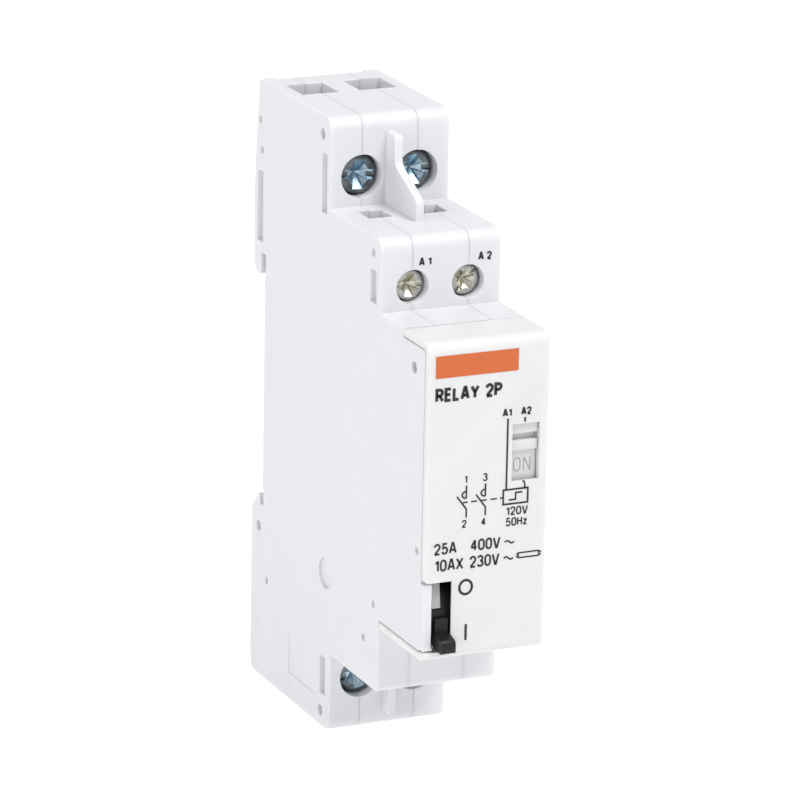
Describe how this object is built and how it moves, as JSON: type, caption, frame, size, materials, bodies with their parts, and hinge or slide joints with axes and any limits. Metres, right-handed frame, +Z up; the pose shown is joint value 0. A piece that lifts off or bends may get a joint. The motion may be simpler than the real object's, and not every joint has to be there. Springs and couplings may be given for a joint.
{
  "type": "din rail contactor",
  "caption": "Narrow stepped DIN rail contactor with latching action: screw clamp terminals above and below, a manual lever and a sliding state flag on the front cover.",
  "frame": {"origin": "middle of the rail seat, on the plane that the rail's front face touches", "axes": "+Z up, -Y to the front of the device, +X to the right seen from the front"},
  "size_m": [0.0178, 0.0629, 0.0889],
  "materials": {
    "white_plastic": "semi-matt moulded polyamide",
    "cover_plastic": "semi-matt moulded polycarbonate",
    "flag_plastic": "semi-matt moulded",
    "black_plastic": "satin moulded",
    "grey_plastic": "satin moulded",
    "natural_plastic": "natural nylon",
    "enamelled_copper": "enamelled winding wire",
    "contact_alloy": "stamped strip with silver alloy rivets",
    "plated_steel": "bright zinc plated",
    "clamp_steel": "zinc plated, folded",
    "magnet_iron": "soft iron, phosphated",
    "blue_zinc": "blue passivated zinc"
  },
  "bodies": {
    "housing": {"left_shell": "white_plastic", "right_shell": "white_plastic", "centre_body": "white_plastic", "front_cover": "cover_plastic", "case_rivet_1": "white_plastic", "case_rivet_2": "white_plastic", "case_rivet_3": "white_plastic", "case_rivet_4": "white_plastic", "rail_spring": "plated_steel", "upper_contact_left": "contact_alloy", "upper_contact_right": "contact_alloy", "lower_contact_left": "contact_alloy", "lower_contact_right": "contact_alloy", "coil_bobbin": "natural_plastic", "coil_winding": "enamelled_copper", "yoke_frame": "magnet_iron", "fixed_core": "magnet_iron", "coil_terminal_left": "contact_alloy", "coil_terminal_right": "contact_alloy", "coil_lead_left": "enamelled_copper", "coil_lead_right": "enamelled_copper", "return_spring": "plated_steel"},
    "lever": {"manual_lever": "black_plastic", "rocker": "grey_plastic", "rocker_shaft": "plated_steel"},
    "flag": {"status_flag": "flag_plastic"},
    "carrier": {"contact_carrier": "natural_plastic", "contact_bridge_left": "contact_alloy", "contact_bridge_right": "contact_alloy", "contact_spring_left": "plated_steel", "contact_spring_right": "plated_steel"},
    "plunger": {"plunger": "magnet_iron", "push_rod": "plated_steel"},
    "pawl": {"drive_pawl": "natural_plastic", "pawl_pin": "plated_steel"},
    "upper_screw_left_body": {"upper_screw_left": "blue_zinc"},
    "upper_clamp_left_body": {"upper_clamp_left": "clamp_steel"},
    "upper_screw_right_body": {"upper_screw_right": "blue_zinc"},
    "upper_clamp_right_body": {"upper_clamp_right": "clamp_steel"},
    "lower_screw_left_body": {"lower_screw_left": "blue_zinc"},
    "lower_clamp_left_body": {"lower_clamp_left": "clamp_steel"},
    "lower_screw_right_body": {"lower_screw_right": "blue_zinc"},
    "lower_clamp_right_body": {"lower_clamp_right": "clamp_steel"},
    "coil_screw_left_body": {"coil_screw_left": "plated_steel"},
    "coil_clamp_left_body": {"coil_clamp_left": "clamp_steel"},
    "coil_screw_right_body": {"coil_screw_right": "plated_steel"},
    "coil_clamp_right_body": {"coil_clamp_right": "clamp_steel"}
  },
  "joints": [
    {"name": "lever_swing", "type": "hinge", "parent": "housing", "child": "lever", "pos_m": [0, -0.0508, -0.0171], "axis": [-1, 0, 0], "range_deg": [0, 50]},
    {"name": "flag_slide", "type": "slide", "parent": "housing", "child": "flag", "axis": [0, 0, -1], "range_m": [0, 0.00305]},
    {"name": "carrier_slide", "type": "slide", "parent": "housing", "child": "carrier", "axis": [0, 1, 0], "range_m": [0, 0.003]},
    {"name": "plunger_stroke", "type": "slide", "parent": "housing", "child": "plunger", "axis": [0, -1, 0], "range_m": [0, 0.0018], "stiffness_N_per_m": 200, "springref_m": -0.003, "deforming": ["return_spring"]},
    {"name": "pawl_swing", "type": "hinge", "parent": "plunger", "child": "pawl", "pos_m": [0, -0.043, -0.0171], "axis": [1, 0, 0], "range_deg": [-8, 8]},
    {"name": "upper_screw_left_turn", "type": "hinge", "parent": "housing", "child": "upper_screw_left_body", "pos_m": [-0.0042, -0.02185, 0.0359], "axis": [0, 1, 0], "range_deg": [0, 1620]},
    {"name": "upper_clamp_left_lift", "type": "slide", "parent": "housing", "child": "upper_clamp_left_body", "axis": [0, -1, 0], "range_m": [0, 0.00315]},
    {"name": "upper_screw_right_turn", "type": "hinge", "parent": "housing", "child": "upper_screw_right_body", "pos_m": [0.0042, -0.02185, 0.0359], "axis": [0, 1, 0], "range_deg": [0, 1620]},
    {"name": "upper_clamp_right_lift", "type": "slide", "parent": "housing", "child": "upper_clamp_right_body", "axis": [0, -1, 0], "range_m": [0, 0.00315]},
    {"name": "lower_screw_left_turn", "type": "hinge", "parent": "housing", "child": "lower_screw_left_body", "pos_m": [-0.0042, -0.02415, -0.0366], "axis": [0, 1, 0], "range_deg": [0, 1620]},
    {"name": "lower_clamp_left_lift", "type": "slide", "parent": "housing", "child": "lower_clamp_left_body", "axis": [0, -1, 0], "range_m": [0, 0.00315]},
    {"name": "lower_screw_right_turn", "type": "hinge", "parent": "housing", "child": "lower_screw_right_body", "pos_m": [0.0042, -0.02415, -0.0366], "axis": [0, 1, 0], "range_deg": [0, 1620]},
    {"name": "lower_clamp_right_lift", "type": "slide", "parent": "housing", "child": "lower_clamp_right_body", "axis": [0, -1, 0], "range_m": [0, 0.00315]},
    {"name": "coil_screw_left_turn", "type": "hinge", "parent": "housing", "child": "coil_screw_left_body", "pos_m": [-0.00415, -0.03945, 0.02465], "axis": [0, 1, 0], "range_deg": [0, 1440]},
    {"name": "coil_clamp_left_lift", "type": "slide", "parent": "housing", "child": "coil_clamp_left_body", "axis": [0, -1, 0], "range_m": [0, 0.002]},
    {"name": "coil_screw_right_turn", "type": "hinge", "parent": "housing", "child": "coil_screw_right_body", "pos_m": [0.00415, -0.03945, 0.02465], "axis": [0, 1, 0], "range_deg": [0, 1440]},
    {"name": "coil_clamp_right_lift", "type": "slide", "parent": "housing", "child": "coil_clamp_right_body", "axis": [0, -1, 0], "range_m": [0, 0.002]}
  ],
  "couplings": [
    {"joint": "flag_slide", "follows": "carrier_slide", "ratio": 1.0141},
    {"joint": "lever_swing", "follows": "carrier_slide", "rad_per_m": 290.88},
    {"joint": "upper_screw_left_turn", "follows": "upper_clamp_left_lift", "rad_per_m": 8975.9},
    {"joint": "upper_screw_right_turn", "follows": "upper_clamp_right_lift", "rad_per_m": 8975.9},
    {"joint": "lower_screw_left_turn", "follows": "lower_clamp_left_lift", "rad_per_m": 8975.9},
    {"joint": "lower_screw_right_turn", "follows": "lower_clamp_right_lift", "rad_per_m": 8975.9},
    {"joint": "coil_screw_left_turn", "follows": "coil_clamp_left_lift", "rad_per_m": 12566},
    {"joint": "coil_screw_right_turn", "follows": "coil_clamp_right_lift", "rad_per_m": 12566}
  ]
}
